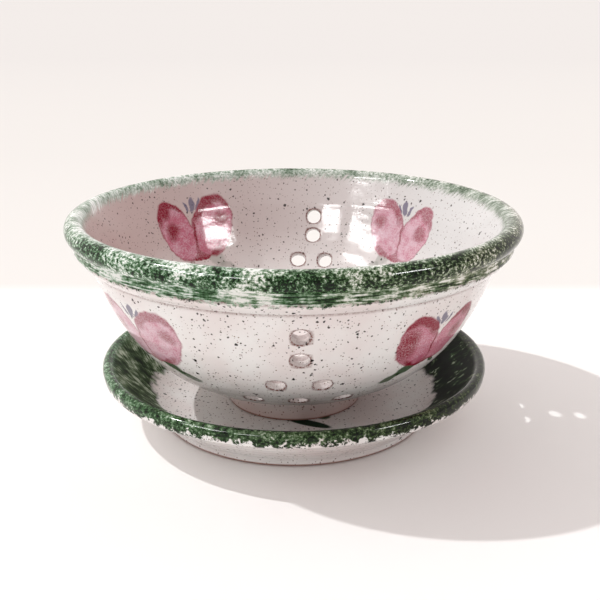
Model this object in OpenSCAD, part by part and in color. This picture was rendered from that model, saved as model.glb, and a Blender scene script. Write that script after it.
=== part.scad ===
// Berry colander bowl on its drip saucer, thrown stoneware.
// Millimetres, +Z up, origin under the centre of the saucer's foot, front towards -Y.

/* [Which piece] */
// Piece to draw

/* [Bowl] */
// Width across the rolled rim
bowl_d = 190; // [130:1:260]
// Height from the foot to the top of the rim
bowl_h = 85; // [60:0.5:130]
// Thickness of the thrown wall
wall_t = 5.5; // [3.5:0.1:8]
// Thickness of the floor inside the foot ring
floor_t = 6; // [4:0.1:10]

/* [Bowl rim] */
// Thickness of the rolled rim
roll_d = 8.4; // [6:0.1:14]
// Height of the upper step, from the middle of the roll to the upper groove
band_h = 8.6; // [6:0.1:14]
// Height of the lower step, from the upper groove to the lower groove
step_h = 5.2; // [3:0.1:10]
// How far the upper groove lies inside the rim's widest line
band_in = 4; // [2:0.1:10]
// How far the lower groove lies inside the rim's widest line
step_in = 9.2; // [4:0.1:16]
// Width of each groove
groove_w = 1.8; // [0.8:0.1:4]
// Depth of each groove
groove_depth = 0.8; // [0.3:0.1:2]

/* [Bowl foot] */
// Width across the foot ring
foot_d = 59; // [40:0.5:90]
// Height of the foot ring outside
foot_h = 8.5; // [4:0.1:14]
// Width of the foot ring's wall
foot_w = 6; // [3:0.1:10]
// Depth of the hollow inside the foot ring
foot_recess = 6; // [2:0.1:10]
// Chamfer on the foot rings' edges
foot_chamfer = 0.8; // [0.3:0.1:2]

/* [Drain holes] */
// Width of each drain hole
hole_d = 7; // [4:0.1:10]
// Distance between neighbouring holes of one row
hole_gap = 17.5; // [10:0.1:24]

/* [Saucer] */
// Width across the saucer's rim
saucer_d = 167; // [120:1:230]
// Height of the saucer
saucer_h = 26.5; // [16:0.5:40]
// Thickness of the saucer's wall and rounded rim
saucer_wall_t = 4.8; // [3:0.1:8]
// Height of the saucer's inner floor over the table
saucer_floor_h = 5.5; // [4:0.1:9]
// Width of the saucer's flat inner floor
saucer_floor_d = 114; // [80:1:150]
// Width across the saucer's foot ring
saucer_foot_d = 118; // [80:1:160]
// Height of the saucer's foot ring outside
saucer_foot_h = 3; // [1.5:0.1:6]
// Width of the saucer's foot ring's wall
saucer_foot_w = 7; // [4:0.1:14]
// Depth of the hollow inside the saucer's foot ring
saucer_recess = 1.5; // [0.5:0.1:3]
// Radius of the curve from the saucer's floor to its wall
saucer_bend = 9; // [4:0.5:20]

/* [Hidden] */
$fn = 96;

// The wall's curve starts level at the foot and ends steep at the lower groove.
belly_low_share = [0.62, 0.18];
belly_high_share = [0.8, 0.48];
wall_steps = 16;
bend_steps = 6;

// Each row of a set, from the top: its drop as a share of the wall's curve, and its holes.
row_drop_share = [0, 0.136, 0.336, 0.536];
row_holes = [1, 1, 2, 3];
// The sets are punched by hand: each has its own turn from the front, height and spread.
set_turn = [2, 89, 173, 271];
set_top_share = [0.89, 0.88, 0.93, 0.9];
set_spread_share = [1, 0.85, 0.82, 0.93];

// Overrun that lets each drain hole break through both faces
overrun = wall_t / 2;

roll_r = roll_d / 2;
roll_place = [bowl_d / 2 - roll_r, bowl_h - roll_r];
foot_r = foot_d / 2;
floor_top = foot_recess + floor_t;
upper_groove = [bowl_d / 2 - band_in, roll_place[1] - band_h];
lower_groove = [bowl_d / 2 - step_in, upper_groove[1] - step_h];

// Control points of the wall's outer curve
belly_start = [foot_r, foot_h];
belly_span = lower_groove - belly_start;
belly_low = belly_start + [belly_span[0] * belly_low_share[0], belly_span[1] * belly_low_share[1]];
belly_high = belly_start + [belly_span[0] * belly_high_share[0], belly_span[1] * belly_high_share[1]];

function mix(a, b, share) = a + (b - a) * share;
function unit(v) = v / norm(v);
function inward(v) = unit([-v[1], v[0]]);
function angle_of(v) = atan2(v[1], v[0]);

// Cubic curve through the control points, by halving steps
function cubic(a, b, c, d, share) =
    mix(mix(mix(a, b, share), mix(b, c, share), share),
        mix(mix(b, c, share), mix(c, d, share), share), share);
function cubic_way(a, b, c, d, share) =
    mix(mix(b, c, share), mix(c, d, share), share) - mix(mix(a, b, share), mix(b, c, share), share);
function quadratic(a, b, c, share) = mix(mix(a, b, share), mix(b, c, share), share);

function wall_point(share) = cubic(belly_start, belly_low, belly_high, lower_groove, share);
function wall_way(share) = cubic_way(belly_start, belly_low, belly_high, lower_groove, share);
function wall_inside(share) = wall_point(share) + inward(wall_way(share)) * wall_t;

// Where a line from a point touches a circle, on its left or right side as the line runs
function touch(from, middle, r, left) =
    let (away = middle - from)
    let (turn = asin(r / norm(away)) * (left ? 1 : -1))
    let (run = sqrt(norm(away) ^ 2 - r ^ 2))
    from + [cos(angle_of(away) + turn), sin(angle_of(away) + turn)] * run;

// A groove: a small notch in the outline, where it runs the given way
function notch(at, way) = [
    at - way * groove_w / 2,
    at + inward(way) * groove_depth,
    at + way * groove_w / 2
];

// The dish of the bowl's inner floor meets the wall's inner curve without a corner.
dish_end = wall_inside(0);
dish_way = unit(wall_way(0));
dish_bend = [dish_end[0] - (dish_end[1] - floor_top) * dish_way[0] / dish_way[1], floor_top];

lower_way = unit(upper_groove - lower_groove);

bowl_outline = concat(
    [
        [0, foot_recess],
        [foot_r - foot_w - foot_chamfer, foot_recess],
        [foot_r - foot_w, foot_recess - foot_chamfer],
        [foot_r - foot_w, foot_chamfer],
        [foot_r - foot_w + foot_chamfer, 0],
        [foot_r - foot_chamfer, 0],
        [foot_r, foot_chamfer]
    ],
    [for (step = [0 : wall_steps - 1]) wall_point(step / wall_steps)],
    notch(lower_groove, lower_way),
    notch(upper_groove, lower_way),
    [roll_place],
    [touch(wall_inside(1), roll_place, roll_r, true)],
    [for (step = [wall_steps : -1 : 1]) wall_inside(step / wall_steps)],
    [
        for (step = [bend_steps : -1 : 0])
            quadratic([0, floor_top], dish_bend, dish_end, step / bend_steps)
    ]
);

saucer_foot_r = saucer_foot_d / 2;
saucer_rim_r = saucer_wall_t / 2;
saucer_rim_place = [saucer_d / 2 - saucer_rim_r, saucer_h - saucer_rim_r];
saucer_corner = [saucer_floor_d / 2, saucer_floor_h];
saucer_inner_rim = touch(saucer_corner, saucer_rim_place, saucer_rim_r, true);
saucer_outer_rim = touch([saucer_foot_r, saucer_foot_h], saucer_rim_place, saucer_rim_r, false);
saucer_bend_start = saucer_corner - [saucer_bend, 0];
saucer_bend_end = saucer_corner + unit(saucer_inner_rim - saucer_corner) * saucer_bend;

saucer_outline = concat(
    [
        [0, saucer_recess],
        [saucer_foot_r - saucer_foot_w - saucer_recess, saucer_recess],
        [saucer_foot_r - saucer_foot_w, 0],
        [saucer_foot_r - foot_chamfer, 0],
        [saucer_foot_r, foot_chamfer],
        [saucer_foot_r, saucer_foot_h],
        saucer_outer_rim,
        saucer_rim_place,
        saucer_inner_rim
    ],
    [
        for (step = [bend_steps : -1 : 0])
            quadratic(saucer_bend_start, saucer_corner, saucer_bend_end, step / bend_steps)
    ],
    [[0, saucer_floor_h]]
);

// One drain hole, square to the wall, at a share of the way up the wall's curve
module drain_hole(share) {
    at = wall_point(share);
    tilt = angle_of(inward(wall_way(share)));
    translate([0, -at[0], at[1]])
        rotate([90 - tilt, 0, 0])
            translate([0, 0, -overrun])
                cylinder(d = hole_d, h = wall_t + overrun * 2);
}

// One set of rows that widens towards the foot
module hole_set(top_share, spread_share) {
    for (row = [0 : len(row_holes) - 1]) {
        share = top_share - row_drop_share[row] * spread_share;
        turn = hole_gap * spread_share / wall_point(share)[0] * 180 / PI;
        for (place = [0 : row_holes[row] - 1])
            rotate([0, 0, (place - (row_holes[row] - 1) / 2) * turn])
                drain_hole(share);
    }
}

module saucer() {
    color("#66806a")
        rotate_extrude()
            union() {
                polygon(saucer_outline);
                translate(saucer_rim_place)
                    circle(r = saucer_rim_r);
            }
}

module bowl() {
    color("#e8e2de")
        translate([0, 0, saucer_floor_h])
            difference() {
                rotate_extrude()
                    union() {
                        polygon(bowl_outline);
                        translate(roll_place)
                            circle(r = roll_r);
                    }
                for (set = [0 : len(set_turn) - 1])
                    rotate([0, 0, set_turn[set]])
                        hole_set(set_top_share[set], set_spread_share[set]);
            }
}

saucer();
bowl();
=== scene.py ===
from functools import partial
import math

import bmesh
import bpy
from mathutils import Euler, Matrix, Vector, noise
from mathutils.bvhtree import BVHTree


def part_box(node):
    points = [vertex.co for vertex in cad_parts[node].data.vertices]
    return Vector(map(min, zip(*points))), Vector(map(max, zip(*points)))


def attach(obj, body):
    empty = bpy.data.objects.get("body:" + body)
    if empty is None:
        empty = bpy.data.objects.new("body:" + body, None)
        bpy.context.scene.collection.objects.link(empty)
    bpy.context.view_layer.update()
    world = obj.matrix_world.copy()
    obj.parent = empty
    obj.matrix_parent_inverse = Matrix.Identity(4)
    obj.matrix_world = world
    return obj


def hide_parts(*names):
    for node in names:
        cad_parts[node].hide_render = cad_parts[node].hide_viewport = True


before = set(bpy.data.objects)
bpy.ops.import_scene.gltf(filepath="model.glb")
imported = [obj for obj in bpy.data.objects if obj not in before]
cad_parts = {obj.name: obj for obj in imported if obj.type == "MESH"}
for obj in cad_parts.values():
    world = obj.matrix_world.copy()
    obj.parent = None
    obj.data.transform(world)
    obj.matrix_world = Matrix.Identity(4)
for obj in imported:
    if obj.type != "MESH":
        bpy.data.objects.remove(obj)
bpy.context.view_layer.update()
scene = bpy.context.scene
scene.view_settings.view_transform = "Standard"
toMm = 1000.0

# The camera stands in front of the bowl and looks down into it.
cameraSet = {
    "place": (2.6, -382.65, 177.94),  # mm from the middle of the saucer's foot
    "pitch": 18.568,  # degrees down from level
    "lens": 55.5,
    "near": 0.01,  # m
}
camera = bpy.data.objects.new("camera", bpy.data.cameras.new("camera"))
camera.data.lens = cameraSet["lens"]
camera.data.clip_start = cameraSet["near"]
camera.location = Vector(cameraSet["place"]) / toMm
camera.rotation_euler = Euler((math.radians(90 - cameraSet["pitch"]), 0, 0))
scene.collection.objects.link(camera)
scene.camera = camera
print("camera placed")


def narrowed(points, share, left):  # a curve's points, drawn together until only so many are left
    while len(points) > left:
        points = [a.lerp(b, share) for a, b in zip(points, points[1:])]
    return points


def bezier(points, share):
    return narrowed(points, share, 1)[0]


def bezierWay(points, share):
    start, end = narrowed(points, share, 2)
    return (end - start).normalized()


def inward(way):
    return Vector((-way.y, way.x)).normalized()


def degreesOf(vector):
    return math.degrees(math.atan2(vector.y, vector.x))


def touch(start, middle, radius, side):  # where a line from start touches a circle, on the side 1 or -1
    away = middle - start
    turn = math.atan2(away.y, away.x) + side * math.asin(radius / away.length)
    return start + Vector((math.cos(turn), math.sin(turn))) * math.sqrt(away.length ** 2 - radius ** 2)


def stepped(start, end, step):  # points from start up to, but not at, end
    count = max(1, round((end - start).length / step))
    return [start.lerp(end, place / count) for place in range(count)]


def softened(corners, reach, step, most=0.45, rounds=4):  # a line through the corners, with each one rounded
    line = []
    last = corners[0]
    for before, corner, after in zip(corners, corners[1:], corners[2:]):
        into, out = (
            corner + (other - corner).normalized() * min(reach, (other - corner).length * most)
            for other in (before, after)
        )
        line += stepped(last, into, step)
        line += [bezier([into, corner, out], place / rounds) for place in range(rounds)]
        last = out
    return line + stepped(last, corners[-1], step)


def arc(middle, radius, start, end, step):  # degrees, from start up to end
    count = max(2, round(abs(end - start) / step))
    turns = [math.radians(start + (end - start) * place / count) for place in range(count + 1)]
    return [middle + Vector((math.cos(turn), math.sin(turn))) * radius for turn in turns]


# A profile is a list of [point, row of the wall or 0, strength of the glaze's break on an edge].
def plain(points):
    return [[point, 0, 0.0] for point in points]


weldWithin = 0.001  # mm


def spun(profile, steps, crest):
    bm = bmesh.new()
    rowLayer = bm.verts.layers.int.new("row")
    walkLayer = bm.verts.layers.float.new("walk")
    edgeLayer = bm.verts.layers.float.new("edge")
    points = [point for point, row, edge in profile]
    walks = [0.0]
    for last, point in zip(points, points[1:]):
        walks.append(walks[-1] + (point - last).length)
    middle = min(range(len(points)), key=lambda place: (points[place] - crest).length)
    verts = []
    for (point, row, edge), walk in zip(profile, walks):
        vert = bm.verts.new((point.x, 0, point.y))
        vert[rowLayer] = row
        vert[walkLayer] = walks[middle] - walk  # mm from the rim's crest: outside above 0, inside below 0
        vert[edgeLayer] = edge
        verts.append(vert)
    edges = [bm.edges.new(pair) for pair in zip(verts, verts[1:])]
    bmesh.ops.spin(bm, geom=verts + edges, cent=(0, 0, 0), axis=(0, 0, 1), dvec=(0, 0, 0),
                   angle=math.tau, steps=steps, use_merge=True)
    bmesh.ops.remove_doubles(bm, verts=bm.verts, dist=weldWithin)
    bmesh.ops.recalc_face_normals(bm, faces=bm.faces)
    return bm


# The soft rings and the slight unevenness of a hand-thrown wall.
waveSet = {
    "width": 55,  # mm over which the unevenness changes, across the piece and along its wall
    "length": 30,
    "start": 7,  # where on its noise it starts
    "drift": 2.5,  # how far it shifts the rings
    "rings": 0.45,  # shares of the depth: the rings, the unevenness, and how far both are pushed in
    "uneven": 0.75,
    "pushed": 0.4,
}


def waves(bm, firmness, depth, period):
    walkLayer = bm.verts.layers.float["walk"]
    bm.normal_update()
    moves = []
    for vert in bm.verts:
        walk = vert[walkLayer]
        turn = math.atan2(vert.co.y, vert.co.x)
        across, back = vert.co.x / waveSet["width"], vert.co.y / waveSet["width"]
        slow = noise.noise(Vector((across, back, walk / waveSet["length"] + waveSet["start"])))
        ring = math.sin(walk / period * math.tau + turn + slow * waveSet["drift"])
        size = firmness(vert.co.xy.length, vert.co.z, walk)
        push = ring * waveSet["rings"] + slow * waveSet["uneven"] - waveSet["pushed"]
        moves.append(vert.normal * push * depth * size)
    for vert, move in zip(bm.verts, moves):
        vert.co += move


def finished(name, bm, body, lift):
    bmesh.ops.translate(bm, verts=bm.verts, vec=(0, 0, lift))
    bmesh.ops.scale(bm, verts=bm.verts, vec=(1 / toMm,) * 3)
    mesh = bpy.data.meshes.new(name)
    bm.to_mesh(mesh)
    bm.free()
    mesh.polygons.foreach_set("use_smooth", [True] * len(mesh.polygons))
    piece = bpy.data.objects.new(name, mesh)
    scene.collection.objects.link(piece)
    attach(piece, body)
    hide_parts(body)
    print(name, "has", sum(len(face.vertices) - 2 for face in mesh.polygons), "triangles")
    return piece


# The bowl: a thrown stoneware wall, cut through by sets of drain holes. Sizes in mm.
bowlLow, bowlHigh = (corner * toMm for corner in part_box("bowl"))
bowlSet = {
    "rimRadius": bowlHigh.x,
    "height": bowlHigh.z - bowlLow.z,
    "wall": 5.5,
    "floor": 6.0,
    "rollRadius": 4.2,
    "rollGap": 12,  # degrees from the neck's end to the roll's start
    "bandHeight": 8.6,
    "stepHeight": 5.2,
    "bandIn": 4.0,
    "stepIn": 9.2,
    "grooveWidth": 2.4,
    "grooveDepth": 0.8,
    "stepSwell": 0.5,  # how far the lower step swells out between the grooves
    "neckOut": 0.2,  # how far the neck stands out past the upper groove
    "neckTurn": ((2.4, 0.5), (3.2, 1.3)),  # where it turns up into the roll, from the roll's lowest place
    "neckSoft": 1.6,
    "footRadius": 29.5,
    "footHeight": 8.5,
    "footWall": 6.0,
    "footHollow": 6.0,
    "footSoft": 1.0,
    "bellyLow": (0.62, 0.18),  # shares of the way from the foot to the lower groove
    "bellyHigh": (0.8, 0.48),
    "waveDepth": 0.045,
    "wavePeriod": 5.2,
    "waveInside": 0.35,  # how strongly the rings show inside, as a share
    "waveFrom": 9,  # the height over the foot where they start outside
}
# How finely its profile is drawn: steps round the axis, rows of the wall, and mm between points.
bowlSteps = {
    "round": 288,
    "wall": 100,
    "first": 3,  # the row over the foot where the wall starts
    "foot": 1.6,
    "band": 0.36,
    "neck": 0.6,
    "roll": 11,  # degrees
    "flare": 1.0,
    "dish": 10,  # points
}
outerFace, innerFace = 1000, 2000  # the rows of the wall's two faces are numbered from here
rollPlace = Vector((bowlSet["rimRadius"], bowlSet["height"])) - Vector((bowlSet["rollRadius"],) * 2)
upperGroove = Vector((bowlSet["rimRadius"] - bowlSet["bandIn"], rollPlace.y - bowlSet["bandHeight"]))
lowerGroove = Vector((bowlSet["rimRadius"] - bowlSet["stepIn"], upperGroove.y - bowlSet["stepHeight"]))
bellyStart = Vector((bowlSet["footRadius"], bowlSet["footHeight"]))
bellySpan = lowerGroove - bellyStart
belly = [
    bellyStart,
    bellyStart + bellySpan * Vector(bowlSet["bellyLow"]),
    bellyStart + bellySpan * Vector(bowlSet["bellyHigh"]),
    lowerGroove,
]


def wallPoint(share):
    return bezier(belly, share)


def wallInside(share):
    return wallPoint(share) + inward(bezierWay(belly, share)) * bowlSet["wall"]


def grooved(start, end, places, step):  # the stepped band: a line with rounded grooves cut across it
    way = (end - start).normalized()
    length = (end - start).length
    first, last = places[0], places[-1]
    count = round(length / step)
    rows = []
    for place in range(count):
        along = length * place / count
        cut = swell = 0.0
        for groove in places:
            near = min(1.0, abs(along - groove) / (bowlSet["grooveWidth"] / 2))
            cut += 0.5 + 0.5 * math.cos(near * math.pi)
        if along < last:
            swell = max(0.0, math.sin(math.pi * (along - first) / (last - first)))
        sunk = cut * bowlSet["grooveDepth"] - swell * bowlSet["stepSwell"]
        rows.append([start + way * along + inward(way) * sunk, 0, cut])
    return rows


def bowlProfile():
    rows = bowlSteps["wall"]
    inner = bowlSet["footRadius"] - bowlSet["footWall"]
    foot = softened([
        Vector((0, bowlSet["footHollow"])),
        Vector((inner, bowlSet["footHollow"])),
        Vector((inner, 0)),
        Vector((bowlSet["footRadius"], 0)),
        bellyStart,
        wallPoint(bowlSteps["first"] / rows),
    ], bowlSet["footSoft"], bowlSteps["foot"])
    outer = [[wallPoint(row / rows), outerFace + row, 0.0] for row in range(bowlSteps["first"], rows)]
    step = upperGroove - lowerGroove
    bandEnd = upperGroove + step.normalized() * bowlSet["grooveWidth"] * 0.5
    band = grooved(lowerGroove, bandEnd, [0.0, step.length], bowlSteps["band"])
    under = rollPlace + Vector((0, -bowlSet["rollRadius"]))
    neck = softened([
        bandEnd,
        Vector((upperGroove.x + bowlSet["neckOut"], under.y)),
        *(under + Vector(place) for place in bowlSet["neckTurn"]),
    ], bowlSet["neckSoft"], bowlSteps["neck"])[:-1]
    flare = touch(wallInside(1), rollPlace, bowlSet["rollRadius"], 1)
    start = degreesOf(neck[-1] - rollPlace) + bowlSet["rollGap"]
    roll = arc(rollPlace, bowlSet["rollRadius"], start, degreesOf(flare - rollPlace), bowlSteps["roll"])
    down = stepped(roll[-1], wallInside(1), bowlSteps["flare"])[1:]
    inside = [[wallInside(row / rows), innerFace + row, 0.0] for row in range(rows, -1, -1)]
    floorTop = bowlSet["footHollow"] + bowlSet["floor"]
    way = bezierWay(belly, 0)
    end = wallInside(0)
    bend = Vector((end.x - (end.y - floorTop) * way.x / way.y, floorTop))
    places = [place / bowlSteps["dish"] for place in range(1, bowlSteps["dish"] + 1)]
    dish = [bezier([end, bend, Vector((0, floorTop))], place) for place in places]
    return plain(foot) + outer + band + plain(neck + roll + down) + inside + plain(dish)


# The drain holes are punched by hand: each of the four sets has its own turn, height and spread. Sizes in mm.
holeSet = {
    "radius": 3.5,
    "lip": 0.55,
    "gap": 17.5,  # between the holes of one row
    "rowDrops": (0, 0.136, 0.336, 0.536),  # shares of the wall's curve
    "rowHoles": (1, 1, 2, 3),
    "turns": (2, 89, 173, 271),  # degrees from the front towards the right
    "tops": (0.89, 0.88, 0.93, 0.9),
    "spreads": (1, 0.85, 0.82, 0.93),
    "oval": 0.05,  # how far a hole may be out of round, as a share
    "ovalEvery": 9,
    "reach": 4.1,  # half of the square that a hole takes out of the mesh
    "rounding": ((0.5, 0.0), (1.0, 0.8)),  # in the square: how round each ring is, and its break
    "bow": ((0.28, 1.0), (0.56, 1.0), (0.8, 0.6), (1.0, 0.3)),  # on the lip: how far round it is, its break
    "cast": {outerFace: (-6, 1), innerFace: (14, -1)},  # where rays along a hole's axis start, and their way
}


def loopAround(halfRows, halfColumns):
    ring = [(-halfRows, column) for column in range(-halfColumns, halfColumns)]
    ring += [(row, halfColumns) for row in range(-halfRows, halfRows)]
    ring += [(halfRows, column) for column in range(halfColumns, -halfColumns, -1)]
    ring += [(row, -halfColumns) for row in range(halfRows, -halfRows, -1)]
    return ring


def holeFrame(turn, share):  # where a hole is, its way in, and the two ways across it
    at = wallPoint(share)
    normal = inward(bezierWay(belly, share))
    around = math.radians(turn - 90)
    radial = Vector((math.cos(around), math.sin(around), 0))
    axis = radial * normal.x + Vector((0, 0, normal.y))
    tangent = Vector((-math.sin(around), math.cos(around), 0))
    return radial * at.x + Vector((0, 0, at.y)), axis, tangent, tangent.cross(axis).normalized()


def holeLoops(holes, grid):  # the square of faces that each hole takes out of both sides, and its edge
    steps, rows = bowlSteps["round"], bowlSteps["wall"]
    gone, places, loops = set(), [], []
    for turn, share in holes:
        middle = round(share * rows)
        column = round((turn - 90) / 360 * steps)
        above = share + 1 / rows
        rowStep = min((on(share) - on(above)).length for on in (wallPoint, wallInside))
        halfRows = math.ceil(holeSet["reach"] / rowStep)
        halfColumns = math.ceil(holeSet["reach"] / (math.tau * wallInside(share).x / steps))
        for side in (outerFace, innerFace):
            block = {
                grid[side + middle + row, (column + across) % steps]
                for row in range(-halfRows, halfRows + 1)
                for across in range(-halfColumns, halfColumns + 1)
            }
            gone |= {
                face for vert in block for face in vert.link_faces
                if all(other in block for other in face.verts)
            }
            loops.append([
                grid[side + middle + row, (column + across) % steps]
                for row, across in loopAround(halfRows, halfColumns)
            ])
            places.append((side, *holeFrame(turn, share)))
    return gone, places, loops


def extruded(bm, loops):  # pulls a new ring out of every loop, and returns the new loops in the same order
    edges = [bm.edges.get(pair) for loop in loops for pair in zip(loop, loop[1:] + loop[:1])]
    made = bmesh.ops.extrude_edge_only(bm, edges=edges)["geom"]
    fresh = {vert for vert in made if isinstance(vert, bmesh.types.BMVert)}

    def pulled(vert):
        return next(other for other in (link.other_vert(vert) for link in vert.link_edges) if other in fresh)

    return [[pulled(vert) for vert in loop] for loop in loops]


def drilled(bm, holes):  # round holes with softened lips, through both faces of the wall
    rowLayer = bm.verts.layers.int["row"]
    edgeLayer = bm.verts.layers.float["edge"]
    steps = bowlSteps["round"]
    grid = {}
    for vert in bm.verts:
        if vert[rowLayer]:
            turn = math.atan2(vert.co.y, vert.co.x)
            grid[vert[rowLayer], round(turn / math.tau * steps) % steps] = vert
    surface = BVHTree.FromBMesh(bm)
    gone, places, loops = holeLoops(holes, grid)
    bmesh.ops.delete(bm, geom=list(gone), context="FACES")
    starts = [
        [((vert.co - centre).dot(tangent), (vert.co - centre).dot(up)) for vert in loop]
        for (side, centre, axis, tangent, up), loop in zip(places, loops)
    ]
    radius, lip = holeSet["radius"], holeSet["lip"]
    rings = [(blend, radius + lip, 0.0, edge) for blend, edge in holeSet["rounding"]]
    for share, edge in holeSet["bow"]:
        bow = share * math.pi / 2
        rings.append((1.0, radius + lip * (1 - math.sin(bow)), lip * (1 - math.cos(bow)), edge))
    for blend, ringRadius, depth, edge in rings:
        loops = extruded(bm, loops)
        for (side, centre, axis, tangent, up), start, loop in zip(places, starts, loops):
            castFrom, way = holeSet["cast"][side]
            oval = 1 + holeSet["oval"] * noise.noise(centre / holeSet["ovalEvery"])
            for vert, (x, y) in zip(loop, start):
                far = math.hypot(x, y)
                over = centre + tangent * (x + (x / far * ringRadius * oval - x) * blend)
                over += up * (y + (y / far * ringRadius / oval - y) * blend)
                hit = surface.ray_cast(over + axis * castFrom, axis * way)[0]
                vert.co = hit + axis * way * depth
                vert[edgeLayer] = edge
    bores = extruded(bm, loops[0::2])  # from the outer face, to be welded to the inner one
    goals = {vert: goal for bore, inner in zip(bores, loops[1::2]) for vert, goal in zip(bore, inner)}
    bmesh.ops.weld_verts(bm, targetmap=goals)


# Where the flowers are painted: turn from the front, mm below the rim, width and height as shares, and depth
# of colour. A width below 0 is mirrored.
bloomSet = {
    "outside": (
        (-49, 46.5, 1.14, 0.92, 0.25),
        (44, 47, -0.95, 0.88, 0.95),
        (133, 46, 1.04, 0.95, 0.5),
        (-134, 46, -1.06, 0.95, 0.6),
    ),
    "inside": (
        (-140.6, 28, 1.0, 1.0, 0.75),
        (137.5, 29, -0.84, 0.92, 0.3),
        (46, 28, 0.95, 0.95, 0.6),
        (-44, 29, -1.0, 0.95, 0.5),
    ),
    "keepAway": 42,  # mm beside a flower's middle where its map ends
    "nowhere": 999.0,  # mm up, so that nothing is painted there
    "apart": 9,  # between two flowers' numbers, so that no two have the same brush marks
    "insideFrom": 40,  # the first number inside
    "between": (36, 38),  # the outside's numbers lie below these, and the inside's above
}


def bloomPlaces(bm):  # each flower's own flat coordinates: mm across, mm up, its number
    walkLayer = bm.verts.layers.float["walk"]
    bloomLayer = bm.verts.layers.float_vector.new("bloom")
    depthLayer = bm.verts.layers.float.new("depth")
    for vert in bm.verts:
        outside = vert[walkLayer] > 0
        turn = math.degrees(math.atan2(vert.co.x, -vert.co.y))
        places = bloomSet["outside" if outside else "inside"]
        offs = [(turn - place[0] + 180) % 360 - 180 for place in places]
        number = min(range(len(places)), key=lambda place: abs(offs[place]))
        down, wide, tall, depth = places[number][1:]
        across = math.radians(offs[number]) * vert.co.xy.length
        up = down - abs(vert[walkLayer]) if abs(across) < bloomSet["keepAway"] else bloomSet["nowhere"]
        hand, first = (1, 0) if outside else (-1, bloomSet["insideFrom"])
        vert[bloomLayer] = (across * hand / wide, up / tall, number * bloomSet["apart"] + first)
        vert[depthLayer] = depth


def bowlFirmness(radius, height, walk):  # how strongly the rings show: less inside, and not on the foot
    return bowlSet["waveInside"] if walk < 0 else float(height > bowlSet["waveFrom"])


bm = spun(bowlProfile(), bowlSteps["round"], rollPlace + Vector((0, bowlSet["rollRadius"])))
waves(bm, bowlFirmness, bowlSet["waveDepth"], bowlSet["wavePeriod"])
holes = []
for turn, top, spread in zip(holeSet["turns"], holeSet["tops"], holeSet["spreads"]):
    for drop, count in zip(holeSet["rowDrops"], holeSet["rowHoles"]):
        share = top - drop * spread
        gap = math.degrees(holeSet["gap"] * spread / wallPoint(share).x)
        holes += [(turn + (place - (count - 1) / 2) * gap, share) for place in range(count)]
drilled(bm, holes)
bloomPlaces(bm)
bowlPiece = finished("bowlGlazed", bm, "bowl", bowlLow.z)

# The saucer: a low thrown dish with a rounded rim. Sizes in mm.
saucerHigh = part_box("saucer")[1] * toMm
saucerSet = {
    "rimRadius": saucerHigh.x,
    "height": saucerHigh.z,
    "rollRadius": 2.4,
    "floorHeight": bowlLow.z,
    "floorRadius": 57.0,
    "footRadius": 59.0,
    "footHeight": 3.0,
    "footWall": 7.0,
    "hollow": 1.5,
    "bend": 9.0,
    "lip": (0.6, 3.9),  # in from the rim's widest line and down from it, to the lip's lower corner
    "lipTop": 0.6,  # down from the rim's widest line, to where the lip meets the roll
    "lipStart": 0.8,  # how far up the outer wall the lip starts, as a share
    "soft": 1.5,
    "waveDepth": 0.06,
    "wavePeriod": 4.4,
    "waveFrom": 60,  # the radius where the rings start, and over how much they grow
    "waveOver": 6,
    "wellFrom": -20,  # the walk from the crest where the floor's painting starts
    "flowerOff": 2,  # how far the flower lies to the left and front of the middle
    "flowerDepth": 0.6,
}
# How finely its profile is drawn: steps round the axis, and mm between points.
saucerSteps = {
    "round": 240,
    "outside": 1.0,
    "roll": 14,  # degrees
    "wall": 1.3,
    "bend": 10,  # points
    "floor": 1.9,
}
saucerRoll = Vector((saucerSet["rimRadius"], saucerSet["height"])) - Vector((saucerSet["rollRadius"],) * 2)


def saucerProfile():
    corner = Vector((saucerSet["floorRadius"], saucerSet["floorHeight"]))
    middle = Vector((0, saucerSet["floorHeight"]))
    footTop = Vector((saucerSet["footRadius"], saucerSet["footHeight"]))
    outerTouch = touch(footTop, saucerRoll, saucerSet["rollRadius"], -1)
    innerTouch = touch(corner, saucerRoll, saucerSet["rollRadius"], 1)
    inner = saucerSet["footRadius"] - saucerSet["footWall"]
    lipIn, lipDown = saucerSet["lip"]
    foot = softened([
        Vector((0, saucerSet["hollow"])),
        Vector((inner - saucerSet["hollow"], saucerSet["hollow"])),
        Vector((inner, 0)),
        Vector((saucerSet["footRadius"], 0)),
        footTop,
        footTop.lerp(outerTouch, saucerSet["lipStart"]),
        Vector((saucerSet["rimRadius"] - lipIn, saucerRoll.y - lipDown)),
        saucerRoll + Vector((saucerSet["rollRadius"], -saucerSet["lipTop"])),
    ], saucerSet["soft"], saucerSteps["outside"])[:-1]
    rollEnd = degreesOf(innerTouch - saucerRoll)
    roll = arc(saucerRoll, saucerSet["rollRadius"], 0, rollEnd, saucerSteps["roll"])
    bendEnd = corner + (innerTouch - corner).normalized() * saucerSet["bend"]
    bendStart = corner - Vector((saucerSet["bend"], 0))
    wall = stepped(roll[-1], bendEnd, saucerSteps["wall"])[1:]
    places = [place / saucerSteps["bend"] for place in range(saucerSteps["bend"])]
    bend = [bezier([bendEnd, corner, bendStart], place) for place in places]
    return plain(foot + roll + wall + bend + stepped(bendStart, middle, saucerSteps["floor"]) + [middle])


def saucerFirmness(radius, height, walk):  # the rings grow from the edge of the floor outwards
    return min(1.0, max(0.0, (radius - saucerSet["waveFrom"]) / saucerSet["waveOver"]))


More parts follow.
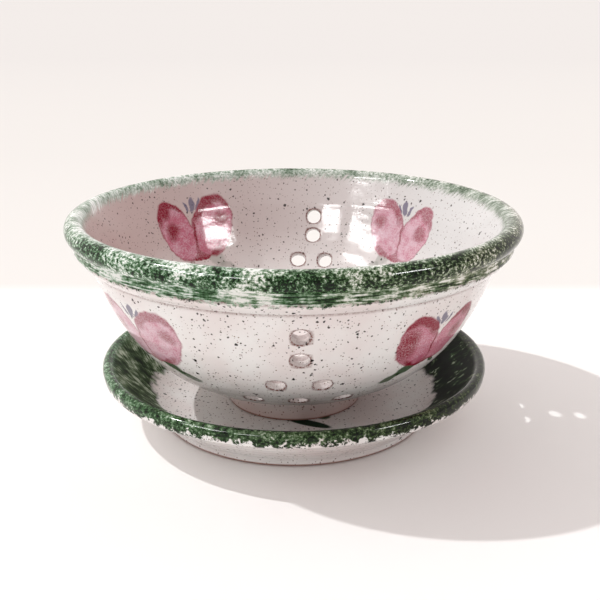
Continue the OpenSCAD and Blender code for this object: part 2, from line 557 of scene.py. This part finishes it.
bm = spun(saucerProfile(), saucerSteps["round"], saucerRoll + Vector((0, saucerSet["rollRadius"])))
waves(bm, saucerFirmness, saucerSet["waveDepth"], saucerSet["wavePeriod"])
walkLayer = bm.verts.layers.float["walk"]
bloomLayer = bm.verts.layers.float_vector.new("bloom")
depthLayer = bm.verts.layers.float.new("depth")
for vert in bm.verts:  # one flower in the middle of the floor
    across, up = vert.co.xy + Vector((saucerSet["flowerOff"],) * 2)
    onFloor = vert[walkLayer] < saucerSet["wellFrom"]
    vert[bloomLayer] = (across, up if onFloor else bloomSet["nowhere"], 0.0)
    vert[depthLayer] = saucerSet["flowerDepth"]
saucerPiece = finished("saucerGlazed", bm, "saucer", 0)


def hexColor(text):  # sRGB hex to linear
    channels = [int(text[place:place + 2], 16) / 255 for place in (1, 3, 5)]
    return [c / 12.92 if c <= 0.04045 else ((c + 0.055) / 1.055) ** 2.4 for c in channels] + [1.0]


# The setting that a kind of node's mode is kept in.
modeNames = {"Math": "operation", "VectorMath": "operation", "Mix": "data_type", "Mapping": "vector_type",
             "MapRange": "interpolation_type", "VectorRotate": "rotation_type"}


# Adds a node with its inputs and settings, and a colour ramp with its stops. A list fills the sockets in use
# in their order, and a dictionary names them. A link is given as an output, or a node's first one in use.
def addNode(tree, kind, inputs=(), mode=None, stops=(), **settings):
    made = tree.nodes.new("ShaderNode" + kind)
    if mode:
        settings[modeNames[kind]] = mode
    for name, value in settings.items():
        setattr(made, name, value)
    if isinstance(inputs, dict):
        pairs = [(made.inputs[name], value) for name, value in inputs.items()]
    else:
        pairs = zip([socket for socket in made.inputs if socket.enabled], inputs)
    for socket, value in pairs:
        if isinstance(value, bpy.types.Node):
            value = next(out for out in value.outputs if out.enabled)
        if isinstance(value, bpy.types.NodeSocket):
            tree.links.new(value, socket)
        else:
            socket.default_value = value
    if stops:
        elements = made.color_ramp.elements
        while len(elements) < len(stops):
            elements.new(0.5)
        for element, (place, color) in zip(elements, stops):
            element.position = place
            element.color = hexColor(color)
    return made


def newMaterial(name):  # the material, and the function that adds nodes to it
    material = bpy.data.materials.new(name)
    material.use_nodes = True
    material.node_tree.nodes.clear()
    return material, partial(addNode, material.node_tree)


# Places in mm, the way outward from the axis, and mm walked from the rim's crest.
def glazeMaps(add):
    spot = add("TexCoord").outputs["Object"]
    place = add("VectorMath", {0: spot, "Scale": toMm}, "SCALE")
    flat = add("VectorMath", [spot, (1, 1, 0)], "MULTIPLY")
    outward = add("VectorMath", [flat], "NORMALIZE")
    return place, outward, add("Attribute", attribute_name="walk").outputs["Fac"]


# Speckled white glaze, with iron specks of three sizes. Up the bowl's inner wall a painted shade darkens it,
# greyer at the right and darker and pinker at the left, and the glaze breaks brown over edges. Sizes in mm,
# and ranges from and to, first of the place or pattern and then of its effect.
speckleSet = {
    "white": "#f0efed",
    "blush": "#e8dfdd",
    "cloud": 24.0,
    "cloudy": (0.4, 0.7),
    # painted shade up the bowl's inner wall: darker and pinker at the left, where the shade is deepest
    "thin": "#c9b3b0",
    "greyShade": "#dadbda",  # painted shade at the right of the upper inner wall
    "shadeAcross": (70.0, -75.0),
    "shadeDown": (-60.0, -32.0, 0.0, 1.0),
    "inside": (1.0, -3.0),
    "break": "#6d382d",
    "crumb": 0.7,
    "patchy": (0.4, 0.56, 0.45, 1.0),
    "veiled": (-6.0, 6.0, 0.9, 1.0),  # specks lie deeper in the glaze inside
    "tear": (0.9, 1.6),  # the specks' ragged edges: how wide a tooth is, and how deep as a share of the speck
    "least": 0.35,  # the smallest speck as a share of the largest
    "fine": (1.2, 0.32, 0.6, 0.07, "#75594f", 0.85),  # cell, size, share, blur, colour, strength
    "middle": (2.1, 0.5, 0.62, 0.08, "#2d1f1a", 0.95),
    "coarse": (5.4, 0.82, 0.55, 0.1, "#170f0d", 0.97),
}


# Iron specks that bleed through the glaze: one in some of the cells.
def specks(add, place, cell, size, share, blur):
    wide, deep = speckleSet["tear"]
    shake = add("TexNoise", {"Vector": place, "Scale": 1 / wide, "Detail": 1.0}).outputs["Color"]
    shaken = add("VectorMath", [shake, (size * deep,) * 3, place], "MULTIPLY_ADD")
    cells = add("TexVoronoi", {"Vector": shaken, "Scale": 1 / cell})
    chance = add("SeparateColor", [cells.outputs["Color"]])
    far = add("Math", [cells, cell], "MULTIPLY")
    reach = add("MapRange", [chance.outputs[1], 0.0, 1.0, size * speckleSet["least"], size])
    edge = add("Math", [far, reach], "SUBTRACT")
    mark = add("MapRange", [edge, -blur, blur, 1.0, 0.0], "SMOOTHSTEP")
    there = add("Math", [chance, share], "LESS_THAN")
    return add("Math", [mark, there], "MULTIPLY")


def cloudyWhite(add, place):
    clouds = add("TexNoise", {"Vector": place, "Scale": 1 / speckleSet["cloud"], "Detail": 2.0})
    cloudy = add("MapRange", [clouds, *speckleSet["cloudy"]])
    return add("Mix", [cloudy, hexColor(speckleSet["white"]), hexColor(speckleSet["blush"])], "RGBA")


# Painted shade on the bowl's upper inner wall, under the rim: greyer at the right, darker and pinker at the
# left.
def paintedShadeInside(add, place, walk, color):
    across = add("SeparateXYZ", [place])
    side = add("MapRange", [across, *speckleSet["shadeAcross"]])
    shadeTint = add("Mix", [side, hexColor(speckleSet["greyShade"]), hexColor(speckleSet["thin"])], "RGBA")
    high = add("MapRange", [walk, *speckleSet["shadeDown"]])
    inside = add("MapRange", [walk, *speckleSet["inside"]])
    thin = add("Math", [inside, high], "MULTIPLY")
    return add("Mix", [thin, color, shadeTint], "RGBA")


def brokenEdges(add, place, color):
    edge = add("Attribute", attribute_name="edge").outputs["Fac"]
    crumb = add("TexNoise", {"Vector": place, "Scale": 1 / speckleSet["crumb"], "Detail": 2.0})
    patchy = add("MapRange", [crumb, *speckleSet["patchy"]])
    worn = add("Math", [edge, patchy], "MULTIPLY")
    return add("Mix", [worn, color, hexColor(speckleSet["break"])], "RGBA")


def speckled(add, place, walk, color):
    veiled = add("MapRange", [walk, *speckleSet["veiled"]])
    for name in ("fine", "middle", "coarse"):
        cell, size, share, blur, tone, strength = speckleSet[name]
        cover = specks(add, place, cell, size, share, blur)
        cover = add("Math", [cover, strength], "MULTIPLY")
        cover = add("Math", [cover, veiled], "MULTIPLY")
        color = add("Mix", [cover, color, hexColor(tone)], "RGBA")
    return color


# Tulips painted under the glaze, from generic dabs: two broad petals on a cup, stamens between, leaves below.
# A dab is its middle and its two radii in mm, and its lean in degrees.
flowerSet = {
    "petals": (((-10.2, -0.6), (9.4, 16.2), 24), ((9.8, 0.0), (10.6, 16.6), -24),
               ((0.2, -11.0), (8.0, 6.2), 0)),
    "petalSoft": 0.05,
    "pale": "#dbb8c5",
    "body": "#bd5f79",
    "pooled": 1.6,  # how much the paint's pools and its grain deepen the body
    "grained": 1.9,
    "tone": (1.8, 2.7),
    "crimson": "#860026",
    # what the dark edge leaves bare of the first two
    "insets": (((-8.2, -4.0), (9.2, 15.4), 24), ((11.0, -4.0), (9.8, 15.4), -24)),
    "insetSoft": 0.07,
    "edgeFrom": (1.0, 6.0),  # mm up the flower
    # dark spots and lines
    "darks": (((-13.2, 0.4), (3.9, 4.2), 20), ((15.6, 3.2), (3.6, 3.4), -20), ((-15.4, 10.4), (4.0, 3.2), 50),
              ((-0.2, -3.0), (0.7, 9.5), -6), ((0.5, -16.2), (9.5, 1.4), 0), ((8.6, -13.6), (6.5, 1.5), 38)),
    "darkSoft": 0.5,
    "rims": (0.9, 0.98, 0.0, 0.8),  # how far out on a petal, and how strong
    "uneven": (0.36, 0.54, 0.84, 1.0),
    "deep": (0.2, 0.7, 0.65, 1.0),  # by the depth of the flower's colour
    "core": ((16.0, 0.5), (6.0, 10.0), -10),  # only in the deepest of them
    "coreSoft": 0.4,
    "coreDeep": (0.85, 0.95, 0.0, 1.0),
    "coreFlecks": (0.4, 0.52, 0.4, 1.0),
    "thin": (0.3, 0.6, 0.7, 0.98),  # how well the paint covers
    "stamens": (((1.2, 11.8), (1.5, 3.9), -10), ((-2.2, 11.0), (0.8, 3.0), 22),
                ((4.4, 11.6), (0.8, 2.9), -34)),
    "stamen": "#6c667e",
    "stamenStrength": 0.85,
    "leaves": (((6.8, -15.6), (3.5, 6.6), 42), ((13.0, -22.4), (2.6, 4.8), 54),
               ((-7.0, -16.4), (1.4, 3.6), -48)),
    "leaf": "#3f5638",
    "leafStrength": (0.95, 0.3),  # outside, and inside, where leaves are mere smudges
    "leafSoft": 0.22,
    "wander": (7.0, 5.0),  # over how many mm the brush wanders, and how far
    "grain": 0.75,
    "pool": 6.0,
}


# A painted dab on a flower's flat map: its cover, and how far out a place lies, 1 at its edge.
def dab(add, at, middle, radii, lean, soft):
    lens = add("Mapping", {"Vector": at, "Location": (*middle, 0), "Scale": (*radii, 1),
                           "Rotation": (0, 0, math.radians(lean))}, "TEXTURE")
    far = add("VectorMath", [lens], "LENGTH")
    cover = add("MapRange", [far, 1 - soft, 1 + soft, 1.0, 0.0], "SMOOTHSTEP")
    return cover, far


def paintedFlowers(add, color):
    bloom = add("Attribute", attribute_name="bloom").outputs["Vector"]
    depth = add("Attribute", attribute_name="depth").outputs["Fac"]
    every, wander = flowerSet["wander"]
    shake = add("TexNoise", {"Vector": bloom, "Scale": 1 / every, "Detail": 4.0}).outputs["Color"]
    moved = add("VectorMath", [shake, (0.5,) * 3], "SUBTRACT")
    shaken = add("VectorMath", [moved, (wander,) * 3, bloom], "MULTIPLY_ADD")
    at = add("VectorMath", [shaken, (1, 1, 0)], "MULTIPLY")
    grain = add("TexNoise", {"Vector": bloom, "Scale": 1 / flowerSet["grain"], "Detail": 3.0,
                             "Roughness": 0.8})
    pool = add("TexNoise", {"Vector": bloom, "Scale": 1 / flowerSet["pool"], "Detail": 2.0})
    petals = [dab(add, at, *petal, flowerSet["petalSoft"]) for petal in flowerSet["petals"]]
    cover = petals[0][0]
    for whole, far in petals[1:]:
        cover = add("Math", [cover, whole], "MAXIMUM")
    tone = add("Math", [pool, flowerSet["pooled"], depth], "MULTIPLY_ADD")
    tone = add("Math", [grain, flowerSet["grained"], tone], "MULTIPLY_ADD")
    tone = add("MapRange", [tone, *flowerSet["tone"]])
    paint = add("Mix", [tone, hexColor(flowerSet["pale"]), hexColor(flowerSet["body"])], "RGBA")
    height = add("SeparateXYZ", [at]).outputs[1]
    high = add("MapRange", [height, *flowerSet["edgeFrom"]])
    darks = []
    for (whole, far), inset in zip(petals, flowerSet["insets"]):
        bare = add("Math", [1.0, dab(add, at, *inset, flowerSet["insetSoft"])[0]], "SUBTRACT")
        edge = add("Math", [bare, whole], "MULTIPLY")
        darks.append(add("Math", [edge, high], "MULTIPLY"))
    darks += [dab(add, at, *mark, flowerSet["darkSoft"])[0] for mark in flowerSet["darks"]]
    rims = add("Math", [petals[0][1], petals[1][1]], "MINIMUM")
    darks.append(add("MapRange", [rims, *flowerSet["rims"]], "SMOOTHSTEP"))
    crimson = darks[0]
    for dark in darks[1:]:
        crimson = add("Math", [crimson, dark], "MAXIMUM")
    uneven = add("MapRange", [grain, *flowerSet["uneven"]])
    deep = add("MapRange", [depth, *flowerSet["deep"]])
    crimson = add("Math", [crimson, uneven], "MULTIPLY")
    crimson = add("Math", [crimson, deep], "MULTIPLY")
    core = dab(add, at, *flowerSet["core"], flowerSet["coreSoft"])[0]
    for source, name in ((depth, "coreDeep"), (grain, "coreFlecks")):
        core = add("Math", [core, add("MapRange", [source, *flowerSet[name]])], "MULTIPLY")
    crimson = add("Math", [crimson, core], "MAXIMUM")
    paint = add("Mix", [crimson, paint, hexColor(flowerSet["crimson"])], "RGBA")
    thin = add("MapRange", [grain, *flowerSet["thin"]])
    thin = add("Math", [thin, crimson], "MAXIMUM")
    cover = add("Math", [cover, thin], "MULTIPLY")
    number = add("SeparateXYZ", [bloom]).outputs[2]
    strong = add("MapRange", [number, *bloomSet["between"], *flowerSet["leafStrength"]])
    stamens = ("stamens", "stamen", flowerSet["stamenStrength"])
    for marks, tint, strength in (stamens, ("leaves", "leaf", strong)):
        for mark in flowerSet[marks]:
            there = dab(add, at, *mark, flowerSet["leafSoft"])[0]
            there = add("Math", [there, strength], "MULTIPLY")
            color = add("Mix", [there, color, hexColor(flowerSet[tint])], "RGBA")
    return add("Mix", [cover, color, paint], "RGBA")


# Green glaze dabbed on with a sponge: near black where it pools, mint and white where it is thin.
spongeSet = {
    "leafy": ((0.0, "#041304"), (0.2, "#193818"), (0.42, "#3e663f"),
              (0.62, "#7b9b7d"), (0.82, "#bfd0c2"), (1.0, "#eff2ee")),
    "olive": ((0.0, "#050b03"), (0.2, "#1c2a10"), (0.42, "#43522f"),
              (0.62, "#7d8569"), (0.82, "#c4c5b5"), (1.0, "#f1efe9")),
    "well": ((0.0, "#030702"), (0.3, "#0f1f0b"), (0.55, "#34482a"), (0.76, "#6b7c60"), (1.0, "#bcc4b2")),
    "lean": 0.8,  # mm that the strokes across the rim lean for each mm that they run
    "marks": {  # size round and down the wall in mm, detail, roughness
        "grain": ((1.3, 1.1), 5.0, 0.72),
        "patch": ((11.0, 9.0), 2.0, 0.5),
        "tuft": ((4.0, 5.0), 3.0, 0.6),
        "round": ((8.0, 0.8), 3.0, 0.6),
        "across": ((1.2, 7.0), 3.0, 0.6),
    },
}


# The sponge's marks: fine grain, broad patches, tufts, and strokes dragged round or across the rim.
def spongeMarks(add, outward, radius, walk):
    slant = add("Math", [walk, spongeSet["lean"] / radius], "MULTIPLY")
    leaning = add("VectorRotate", {"Vector": outward, "Angle": slant}, "Z_AXIS")
    down = add("CombineXYZ", {"Z": walk})
    ring, leant = (
        add("VectorMath", [way, (radius,) * 3, down], "MULTIPLY_ADD") for way in (outward, leaning)
    )
    marks = {}
    for name, ((wide, tall), detail, roughness) in spongeSet["marks"].items():
        place = leant if name == "across" else ring
        scaled = add("VectorMath", [place, (1 / wide, 1 / wide, 1 / tall)], "MULTIPLY")
        marks[name] = add("TexNoise", {"Vector": scaled, "Scale": 1.0, "Detail": detail,
                                       "Roughness": roughness})
    return marks


# How far a green band reaches: both its edges are torn by the marks.
def spongedEdges(add, marks, walk, own):
    edges = []
    for name in ("outer", "inner"):
        torn = walk
        for mark, amount in own[name + "Torn"].items():
            torn = add("Math", [marks[mark], amount, torn], "MULTIPLY_ADD")
        edges.append(add("MapRange", [torn, *own[name]], "SMOOTHSTEP"))
    return add("Math", edges, "MULTIPLY")


def twoGreens(add, tone, share):
    leafy, olive = (add("ValToRGB", [tone], stops=spongeSet[name]) for name in ("leafy", "olive"))
    return add("Mix", [share, leafy, olive], "RGBA")


# The bowl's green rim, by mm walked from the crest: outside above 0, inside below 0. A range goes from and
# to, first of the place or pattern and then of its effect.
rimSet = {
    "outer": (24.6, 26.2, 1.0, 0.0),
    "outerTorn": {"grain": 7.0, "tuft": 7.0},  # mm that the marks tear this edge
    "inner": (-2.6, 0.6),
    "innerTorn": {"across": 10.0},
    "round": (9.0, 12.0, 0.0, 0.7),  # where the sponge is dragged round, and where across
    "across": (3.0, -2.0, 0.0, 0.7),
    "behind": (0.15, 0.75),
    "calm": (0.0, 1.0, 1.0, 0.12),  # dabbed, not dragged, at the back
    "patch": 0.4,
    "tuft": 0.25,
    "contrast": (0.7, 0.95),
    "flat": (0.5, -3.0, 0.0, 0.6),  # softer on the inner side
    "flatTone": 0.5,
    "lifts": (-8.0, 20.0),  # lighter and darker down the rim, with a painted shade under the roll: its reach, and places on a curve
    "liftCurve": ((0.0, 0.71), (0.24, 0.7), (0.34, 0.62), (0.5, 0.46), (0.6, 0.42), (0.66, 0.66), (1.0, 0.7)),
    "level": 0.56,
    "right": -0.09,  # darker towards the right, a painted shade away from the lamp, and a little lighter at the back, a painted highlight
    "back": 0.06,
    "olive": (0.2, 1.3),
    "oliveOutside": (-2.0, 3.0, 0.3, 1.0),
    "sheenGrey": (-2.5, 2.5, 0.6, 1.0),  # greyer on the inner side, a painted sheen
}


def spongedRim(add, marks, outward, walk, band, color):
    cover = add("Math", [spongedEdges(add, marks, walk, rimSet), band], "MULTIPLY")
    onBand = add("MapRange", [walk, *rimSet["round"]])
    within = add("MapRange", [walk, *rimSet["across"]])
    sides = add("SeparateXYZ", [outward])
    behind = add("MapRange", [sides.outputs[1], *rimSet["behind"]])
    calm = add("MapRange", [behind, *rimSet["calm"]])
    within = add("Math", [within, calm], "MULTIPLY")
    lined = add("Mix", [onBand, marks["grain"], marks["round"]])
    lined = add("Mix", [within, lined, marks["across"]])
    tone = add("Math", [marks["patch"], rimSet["patch"], lined], "MULTIPLY_ADD")
    tone = add("Math", [marks["tuft"], rimSet["tuft"], tone], "MULTIPLY_ADD")
    tone = add("MapRange", [tone, *rimSet["contrast"]], clamp=False)
    flat = add("MapRange", [walk, *rimSet["flat"]])
    tone = add("Mix", [flat, tone, rimSet["flatTone"]])
    lifts = add("FloatCurve", {"Value": add("MapRange", [walk, *rimSet["lifts"]])})
    curve = lifts.mapping.curves[0]
    first, *between, last = rimSet["liftCurve"]
    for point, place in zip(curve.points, (first, last)):
        point.location = place
    for place in between:
        curve.points.new(*place)
    lifts.mapping.update()
    # painted shade under the roll and towards the right, and a painted highlight at the back
    lift = add("Math", [sides, rimSet["right"], lifts], "MULTIPLY_ADD")
    lift = add("Math", [behind, rimSet["back"], lift], "MULTIPLY_ADD")
    lift = add("Math", [lift, rimSet["level"]], "SUBTRACT")
    tone = add("Math", [tone, lift], "ADD", use_clamp=True)
    share = add("Math", [marks["patch"], 1.0, sides], "MULTIPLY_ADD")
    share = add("MapRange", [share, *rimSet["olive"]])
    outside = add("MapRange", [walk, *rimSet["oliveOutside"]])
    share = add("Math", [share, outside], "MULTIPLY")
    sheenGrey = add("MapRange", [walk, *rimSet["sheenGrey"]])
    green = add("HueSaturation", {"Saturation": sheenGrey, "Color": twoGreens(add, tone, share)})
    return add("Mix", [cover, color, green], "RGBA")


# The saucer's broad green band, given in the same way: dark strokes round the inner wall, paler on the rim.
wellSet = {
    "outer": (19.0, 20.2, 1.0, 0.0),
    "outerTorn": {"grain": 11.0, "tuft": 15.0},
    "inner": (-19.0, -15.0),
    "innerTorn": {"patch": 16.0},
    "patch": 0.55,  # shares of the broad patches and of the tufts in the wall's tone
    "tuft": 0.35,
    "right": -0.05,  # darker towards the right, a painted shade on the side away from the lamp, on the wall and on the rim
    "rimRight": -0.1,
    "contrast": (0.41, 0.67),
    "dabs": (0.58, 0.68),  # pale dabs, more of them towards the right
    "pale": (-0.5, 0.6, 0.1, 0.55),
    "rimTuft": 0.5,
    "rimContrast": (0.62, 1.06),
    "line": (-1.3, -0.6, 0.0, 1.0),  # a thin dark line just inside the crest
    "linePast": (-0.6, 0.3, 1.0, 0.0),
    "lineDepth": -0.2,
    "olive": (-1.0, 0.7),  # leafy at the left, olive at the right
    "onRim": (-4.5, -1.0),
}


def spongedWell(add, marks, outward, walk, color):
    cover = spongedEdges(add, marks, walk, wellSet)
    tone = add("Mix", [wellSet["patch"], marks["across"], marks["patch"]])
    tone = add("Mix", [wellSet["tuft"], tone, marks["tuft"]])
    across = add("SeparateXYZ", [outward])
    # painted shade towards the right, on the side away from the lamp
    tone = add("Math", [across, wellSet["right"], tone], "MULTIPLY_ADD")
    tone = add("MapRange", [tone, *wellSet["contrast"]])
    dabs = add("MapRange", [marks["tuft"], *wellSet["dabs"]])
    pale = add("MapRange", [across, *wellSet["pale"]])
    tone = add("Math", [dabs, pale, tone], "MULTIPLY_ADD", use_clamp=True)
    well = add("ValToRGB", [tone], stops=spongeSet["well"])
    fresh = add("Math", [marks["tuft"], wellSet["rimTuft"], marks["grain"]], "MULTIPLY_ADD")
    fresh = add("MapRange", [fresh, *wellSet["rimContrast"]], clamp=False)
    line = add("MapRange", [walk, *wellSet["line"]])
    past = add("MapRange", [walk, *wellSet["linePast"]])
    line = add("Math", [line, past], "MULTIPLY")
    fresh = add("Math", [line, wellSet["lineDepth"], fresh], "MULTIPLY_ADD")
    fresh = add("Math", [across, wellSet["rimRight"], fresh], "MULTIPLY_ADD", use_clamp=True)
    rim = twoGreens(add, fresh, add("MapRange", [across, *wellSet["olive"]]))
    onRim = add("MapRange", [walk, *wellSet["onRim"]])
    green = add("Mix", [onRim, well, rim], "RGBA")
    return add("Mix", [cover, color, green], "RGBA")


# A clear glossy coat over the colour, and bare clay under the foot.
coatSet = {
    "clay": "#9d7164",
    "clayTop": (0.7, 1.3),  # mm over the foot, from bare clay to glaze
    "clayRough": 0.85,
    "peel": 5.0,  # mm, the coat's faint waves
    "gloss": (0.3, 0.7, 0.08, 0.14),
    "satinRough": 0.55,
    "bump": (0.25, 0.0003),  # strength, and depth in m
    "ior": 1.42,
    "level": (0.27, 0.1),  # specular level where it is glossy and where it is satin
}


def glazed(material, add, color, place, foot, dull=None):  # dull goes from 0, glossy, to 1, satin
    height = add("SeparateXYZ", [place]).outputs[2]
    bare = add("MapRange", [height, *(foot + edge for edge in coatSet["clayTop"]), 1.0, 0.0])
    color = add("Mix", [bare, color, hexColor(coatSet["clay"])], "RGBA")
    peel = add("TexNoise", {"Vector": place, "Scale": 1 / coatSet["peel"], "Detail": 2.0})
    rough = add("MapRange", [peel, *coatSet["gloss"]])
    level = coatSet["level"][0]
    if dull is not None:
        rough = add("Mix", [dull, rough, coatSet["satinRough"]])
        level = add("MapRange", [dull, 0.0, 1.0, *coatSet["level"]])
    rough = add("Mix", [bare, rough, coatSet["clayRough"]])
    strength, deep = coatSet["bump"]
    bump = add("Bump", {"Height": peel, "Strength": strength, "Distance": deep})
    shader = add("BsdfPrincipled", {"Base Color": color, "Roughness": rough, "Normal": bump,
                                    "IOR": coatSet["ior"], "Specular IOR Level": level})
    add("OutputMaterial", {"Surface": shader})
    return material


# Glazed stoneware of the bowl: speckled white, a sponged green rim and tulips, all under one clear gloss.
bowlGlaze = {
    "footShade": (1.5, 12.0, 0.45, 0.0),  # mm over the foot where a painted shade darkens the belly to a reddish brown, and how strongly
    # the reddish brown of that painted shade near the foot
    "clay": "#c4877a",
    "bandFrom": (66.0, 68.0),  # mm over the table: the green stays above the drain holes
}
material, add = newMaterial("speckledGlazedStoneware")
place, outward, walk = glazeMaps(add)
color = paintedShadeInside(add, place, walk, cloudyWhite(add, place))
color = speckled(add, place, walk, brokenEdges(add, place, color))
color = paintedFlowers(add, color)
height = add("SeparateXYZ", [place]).outputs[2]
# painted shade on the lower belly, darkest by the foot
start, end, *shows = bowlGlaze["footShade"]
footShade = add("MapRange", [height, bowlLow.z + start, bowlLow.z + end, *shows])
color = add("Mix", [footShade, color, hexColor(bowlGlaze["clay"])], "RGBA")
band = add("MapRange", [height, *bowlGlaze["bandFrom"]])
marks = spongeMarks(add, outward, bowlSet["rimRadius"], walk)
color = spongedRim(add, marks, outward, walk, band, color)
bowlPiece.data.materials.append(glazed(material, add, color, place, bowlLow.z))
print("bowl glaze made")

# Glazed stoneware of the saucer: the same white, flower and gloss, with a broad green band, satin inside.
saucerGlaze = {
    "floorFrom": (-20.0, -22.0),  # mm walked from the crest: the painted leaves lie on the floor alone
    "satin": (-1.0, -3.5, 0.0, 0.9),  # mm walked from the crest, and how satin it is
    "leaves": (((6.4, -31.4), (2.6, 10.0), 65), ((-2.6, -23.0), (1.2, 6.6), 3)),  # dabs, from the middle
    "leaf": "#16301f",
    "leafSoft": 0.15,
}
material, add = newMaterial("spongedGreenStoneware")
place, outward, walk = glazeMaps(add)
color = speckled(add, place, walk, cloudyWhite(add, place))
color = paintedFlowers(add, color)
ground = add("VectorMath", [place, (1, 1, 0)], "MULTIPLY")
onFloor = add("MapRange", [walk, *saucerGlaze["floorFrom"]])
for mark in saucerGlaze["leaves"]:
    leaf = add("Math", [dab(add, ground, *mark, saucerGlaze["leafSoft"])[0], onFloor], "MULTIPLY")
    color = add("Mix", [leaf, color, hexColor(saucerGlaze["leaf"])], "RGBA")
marks = spongeMarks(add, outward, saucerSet["rimRadius"], walk)
color = spongedWell(add, marks, outward, walk, color)
dull = add("MapRange", [walk, *saucerGlaze["satin"]])
saucerPiece.data.materials.append(glazed(material, add, color, place, 0, dull))
print("saucer glaze made")

# The table: a wide matt white top that keeps the shadow and turns faintly warm and darker towards the back.
tableSet = {
    "size": 20,  # m from the middle to a side
    "back": (0.0, 2.2),  # m behind the bowl
    "white": ((0.074, "#f6f5f4"), (0.08, "#e6e5e2"), (0.3, "#e1e0dd"), (1.0, "#dcdbd9")),
}
bm = bmesh.new()
bmesh.ops.create_grid(bm, x_segments=1, y_segments=1, size=tableSet["size"])
tableMesh = bpy.data.meshes.new("tableTop")
bm.to_mesh(tableMesh)
bm.free()
tableTop = bpy.data.objects.new("tableTop", tableMesh)
scene.collection.objects.link(tableTop)
paint, add = newMaterial("mattWhiteTable")
depth = add("SeparateXYZ", [add("TexCoord").outputs["Object"]]).outputs[1]
back = add("MapRange", [depth, *tableSet["back"]])
white = add("ValToRGB", [back], stops=tableSet["white"])
matt = add("BsdfDiffuse", {"Color": white})
add("OutputMaterial", {"Surface": matt})
tableTop.data.materials.append(paint)

# Light: a lamp from the left and a little behind, four small windows for the gloss, and a pale room.
lightSet = {
    "way": (0.74, -0.18, -1.0),
    "strength": 1.46,
    "spread": 1.2,  # degrees
    "room": 0.91,
    "roomColor": "#fdf5f3",
    "brighter": (-0.2, 0.3, 0.0),  # the side of the room that shines more, and by what share
    "aim": (0, 0, 0.05),  # the place in the bowl, in m, that the windows stand round
    # direction from there, distance in m, width and height in m, watts, lean in degrees
    "windows": (
        ((-0.82, -0.57, 0.61), 1.5, 0.56, 0.14, 12.0, 0),
        ((-0.82, -0.57, 0.88), 1.5, 0.5, 0.1, 7.5, 0),
        ((-0.45, -0.89, 0.6), 1.5, 0.3, 0.14, 6.5, 0),
        ((0.86, -0.51, 0.567), 1.6, 0.5, 0.125, 14.0, -15),
    ),
}
lamp = bpy.data.objects.new("lamp", bpy.data.lights.new("lamp", "SUN"))
lamp.data.energy = lightSet["strength"]
lamp.data.angle = math.radians(lightSet["spread"])
lamp.rotation_euler = Vector(lightSet["way"]).to_track_quat("-Z", "Y").to_euler()
scene.collection.objects.link(lamp)
for way, far, wide, tall, watts, lean in lightSet["windows"]:
    panel = bpy.data.objects.new("panel", bpy.data.lights.new("panel", "AREA"))
    panel.data.shape = "RECTANGLE"
    panel.data.size = wide
    panel.data.size_y = tall
    panel.data.energy = watts
    panel.location = Vector(way).normalized() * far + Vector(lightSet["aim"])
    panel.rotation_euler = (-Vector(way)).to_track_quat("-Z", "Y").to_euler()
    panel.rotation_euler.rotate_axis("Z", math.radians(lean))
    panel.visible_diffuse = False  # only the gloss shows them
    scene.collection.objects.link(panel)
room = bpy.data.worlds.new("room")
scene.world = room
room.use_nodes = True
room.node_tree.nodes.clear()
add = partial(addNode, room.node_tree)
way = add("TexCoord").outputs["Generated"]
side = add("VectorMath", [way, lightSet["brighter"]], "DOT_PRODUCT")
shine = add("Math", [side, lightSet["room"], lightSet["room"]], "MULTIPLY_ADD")
pale = add("Background", {"Color": hexColor(lightSet["roomColor"]), "Strength": shine})
add("OutputWorld", {"Surface": pale})
